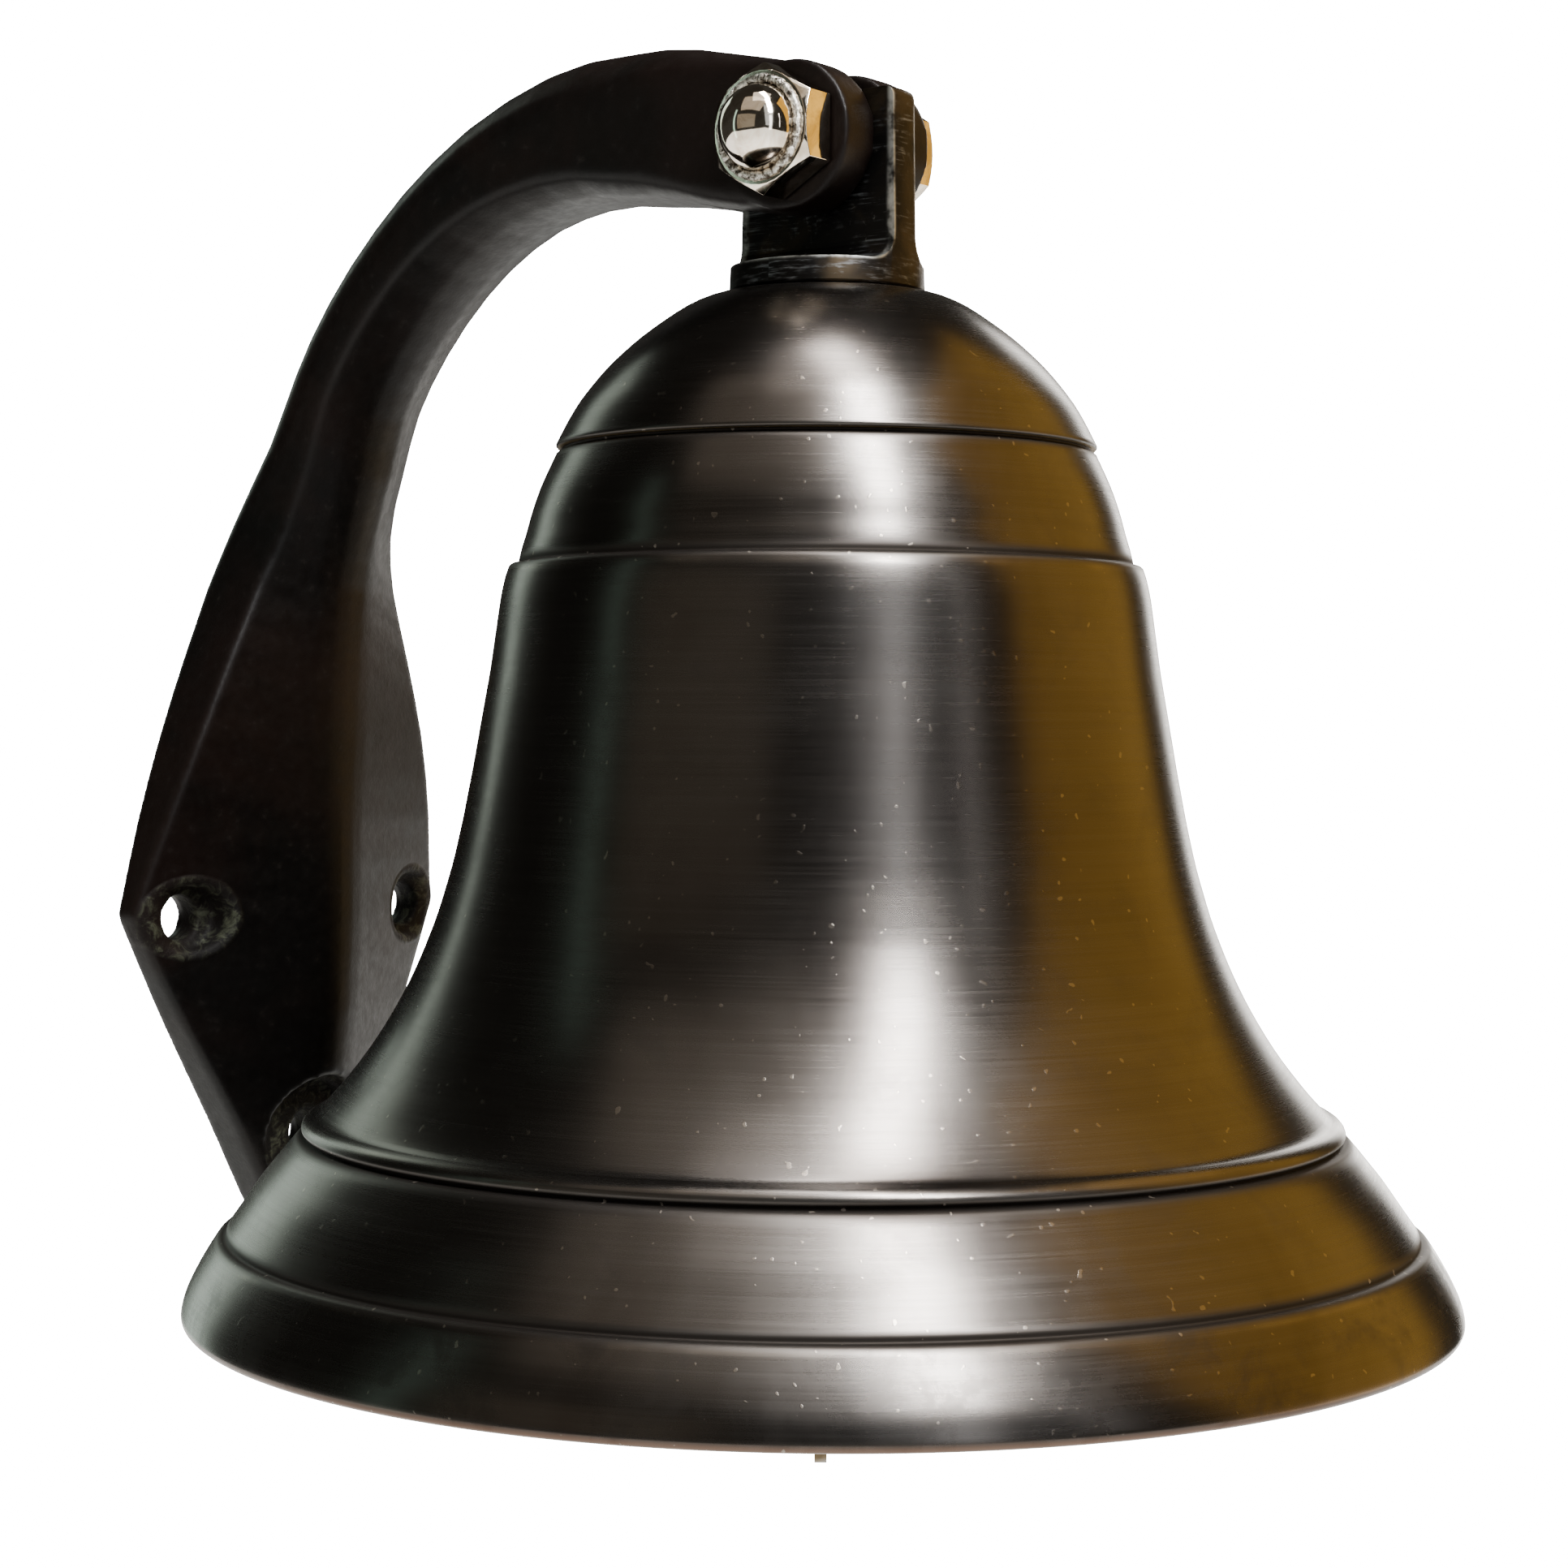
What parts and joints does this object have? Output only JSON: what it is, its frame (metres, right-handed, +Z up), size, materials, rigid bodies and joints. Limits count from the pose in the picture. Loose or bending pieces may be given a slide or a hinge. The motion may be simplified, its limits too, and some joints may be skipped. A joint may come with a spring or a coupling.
{
  "type": "ship bell with wall bracket",
  "caption": "Dark patinated ship bell with turned bands, hung by a milled crown lug from the forked arm of a cast wall bracket, with a swinging clapper inside.",
  "frame": {"origin": "on the bracket's flat back, on the mid-plane of the arm and level with the bell's mouth", "axes": "+Y is the outward normal of the bracket's flat back, so the wall is at Y = 0 and the bell stands out towards -Y; +Z is up; +X completes the right-handed frame"},
  "size_m": [0.2032, 0.2286, 0.2306],
  "materials": {
    "bracket_iron": "satin black over sand-cast grain",
    "dark_bronze": "dark antique patina over fine lathe lines",
    "lug_bronze": "blackened, worn bright on the milled edges",
    "bright_nickel": "polished nickel plate",
    "bolt_steel": "plated",
    "washer_steel": "zinc plate",
    "hanger_brass": "dull machined brass",
    "link_brass": "drawn wire, tarnished",
    "clapper_brass": "tarnished, ball worn where it strikes"
  },
  "bodies": {
    "bracket": {"wall_bracket": "bracket_iron", "pivot_bolt": "bolt_steel", "cap_nut_hex": "bright_nickel", "cap_nut_dome": "bright_nickel"},
    "bell": {"crown_lug": "lug_bronze", "bell_shell": "dark_bronze", "hanger_washer": "hanger_brass", "lock_washer": "washer_steel", "hanger_nut": "hanger_brass"},
    "link": {"clapper_link": "link_brass"},
    "clapper": {"clapper_rod": "clapper_brass", "clapper_ball": "clapper_brass"}
  },
  "joints": [
    {"name": "bell_swing", "type": "hinge", "parent": "bracket", "child": "bell", "pos_m": [0, -0.127, 0.186], "axis": [1, 0, 0], "range_deg": [-20, 3.5]},
    {"name": "clapper_swing", "type": "hinge", "parent": "bell", "child": "link", "pos_m": [0, -0.127, 0.13], "axis": [1, 0, 0], "range_deg": [-28, 28]},
    {"name": "clapper_side_swing", "type": "hinge", "parent": "link", "child": "clapper", "pos_m": [0, -0.127, 0.1215], "axis": [0, 1, 0], "range_deg": [-8, 8]}
  ]
}
